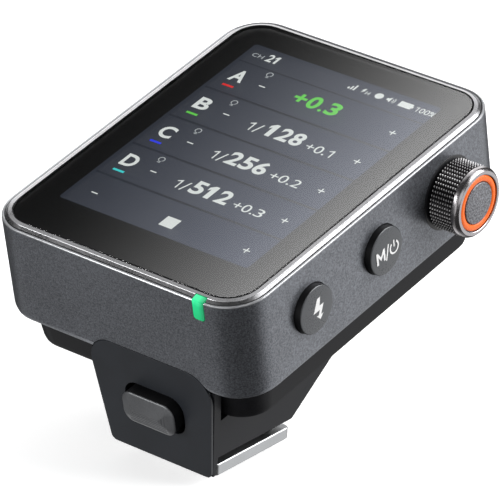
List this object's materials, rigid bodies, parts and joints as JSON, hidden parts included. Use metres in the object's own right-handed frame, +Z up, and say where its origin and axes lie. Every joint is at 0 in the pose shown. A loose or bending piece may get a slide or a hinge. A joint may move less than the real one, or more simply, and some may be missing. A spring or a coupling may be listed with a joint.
{
  "type": "wireless flash trigger",
  "caption": "Flat touch-screen transmitter box tilted on a shoe foot, with side push buttons, a knurled push-dial, a front release button and a status light.",
  "frame": {"origin": "centre contact's axis at the underside of the shoe foot, which is where the centre contact of a camera's accessory shoe sits", "axes": "+Z up, square to the foot; +Y the way the foot slides into the shoe, away from the viewer; +X towards the side with the buttons and the dial"},
  "size_m": [0.0542, 0.0657, 0.0485],
  "materials": {
    "case_paint": "gunmetal fine-textured paint over moulded plastic",
    "bezel_metal": "satin, two-step bright bevel",
    "cover_glass": "black-backed touch glass, polished",
    "display_panel": "colour screen, lit",
    "inner_steel": "plain stamped sheet",
    "circuit_board": "green solder mask",
    "battery_wrap": "shrink-wrapped flat cell",
    "base_plastic": "black semi-gloss",
    "plate_plastic": "blue-black satin",
    "key_plastic": "dark grey satin",
    "release_plastic": "mid grey, fine ribs",
    "dial_chrome": "dark chrome, knurled",
    "dial_accent": "bright orange metallic",
    "dial_cap": "fine textured grey",
    "collar_plastic": "black",
    "light_pipe": "translucent green, lit",
    "foot_metal": "satin silver",
    "contact_gold": "gold plated",
    "screw_steel": "black oxide",
    "spring_steel": "bright wire and bar",
    "insulator": "black moulding",
    "component": "black moulding",
    "flex_circuit": "amber film",
    "led_lens": "clear lens"
  },
  "bodies": {
    "chassis": {"upper_case": "case_paint", "bezel_ring": "bezel_metal", "cover_glass": "cover_glass", "display_panel": "display_panel", "mid_frame": "inner_steel", "main_board": "circuit_board", "board_screw_1": "screw_steel", "board_screw_2": "screw_steel", "battery_pack": "battery_wrap", "radio_module": "inner_steel", "processor_shield": "inner_steel", "beeper": "component", "antenna_flex": "flex_circuit", "status_led": "led_lens", "usb_c_receptacle": "inner_steel", "sync_jack": "component", "status_light_pipe": "light_pipe", "test_switch": "component", "menu_switch": "component", "dial_collar": "collar_plastic", "encoder_body": "inner_steel", "base_cover": "base_plastic", "mechanism_cover": "component", "front_plate": "plate_plastic", "shoe_block": "base_plastic", "shoe_foot": "foot_metal", "contact_carrier": "insulator", "contact_board": "circuit_board", "release_spring": "spring_steel", "lock_pin_spring": "spring_steel", "base_screw_1": "screw_steel", "foot_screw_1": "screw_steel", "base_screw_2": "screw_steel", "foot_screw_2": "screw_steel", "base_screw_3": "screw_steel", "foot_screw_3": "screw_steel", "base_screw_4": "screw_steel", "foot_screw_4": "screw_steel"},
    "rotor": {"encoder_rotor": "insulator"},
    "dial": {"dial_shaft": "spring_steel", "dial_body": "dial_chrome", "dial_accent_ring": "dial_accent", "dial_centre_cap": "dial_cap"},
    "test_key": {"test_button": "key_plastic", "test_switch_plunger": "component"},
    "menu_key": {"menu_button": "key_plastic", "menu_switch_plunger": "component"},
    "release": {"release_button": "release_plastic"},
    "pin": {"lock_pin": "spring_steel"},
    "contact_0": {"centre_contact_pin": "contact_gold"},
    "contact_1": {"contact_pin_1": "contact_gold"},
    "contact_2": {"contact_pin_2": "contact_gold"},
    "contact_3": {"contact_pin_3": "contact_gold"},
    "contact_4": {"contact_pin_4": "contact_gold"}
  },
  "joints": [
    {"name": "dial_turn", "type": "hinge", "parent": "chassis", "child": "rotor", "pos_m": [0.01891, 0.032, 0.0359], "axis": [1, 0, 0], "continuous": true},
    {"name": "dial_press", "type": "slide", "parent": "rotor", "child": "dial", "axis": [-1, 0, 0], "range_m": [0, 0.00025], "stiffness_N_per_m": 4000, "springref_m": -0.0004},
    {"name": "test_press", "type": "slide", "parent": "chassis", "child": "test_key", "axis": [-1, 0, 0], "range_m": [0, 0.00045], "stiffness_N_per_m": 3000, "springref_m": -0.0005},
    {"name": "menu_press", "type": "slide", "parent": "chassis", "child": "menu_key", "axis": [-1, 0, 0], "range_m": [0, 0.00045], "stiffness_N_per_m": 3000, "springref_m": -0.0005},
    {"name": "release_press", "type": "slide", "parent": "chassis", "child": "release", "axis": [0, 0.9732, 0.23], "range_m": [0, 0.0018], "stiffness_N_per_m": 1500, "springref_m": -0.002, "deforming": ["release_spring"]},
    {"name": "lock_pin_lift", "type": "slide", "parent": "chassis", "child": "pin", "axis": [0, 0, 1], "range_m": [0, 0.00145], "stiffness_N_per_m": 300, "springref_m": -0.001, "deforming": ["lock_pin_spring"]},
    {"name": "centre_contact_press", "type": "slide", "parent": "chassis", "child": "contact_0", "axis": [0, 0, 1], "range_m": [0, 0.00045], "stiffness_N_per_m": 500, "springref_m": -0.001},
    {"name": "contact_press_1", "type": "slide", "parent": "chassis", "child": "contact_1", "axis": [0, 0, 1], "range_m": [0, 0.00045], "stiffness_N_per_m": 500, "springref_m": -0.001},
    {"name": "contact_press_2", "type": "slide", "parent": "chassis", "child": "contact_2", "axis": [0, 0, 1], "range_m": [0, 0.00045], "stiffness_N_per_m": 500, "springref_m": -0.001},
    {"name": "contact_press_3", "type": "slide", "parent": "chassis", "child": "contact_3", "axis": [0, 0, 1], "range_m": [0, 0.00045], "stiffness_N_per_m": 500, "springref_m": -0.001},
    {"name": "contact_press_4", "type": "slide", "parent": "chassis", "child": "contact_4", "axis": [0, 0, 1], "range_m": [0, 0.00045], "stiffness_N_per_m": 500, "springref_m": -0.001}
  ],
  "couplings": [
    {"joint": "lock_pin_lift", "follows": "release_press", "ratio": 0.80556}
  ]
}
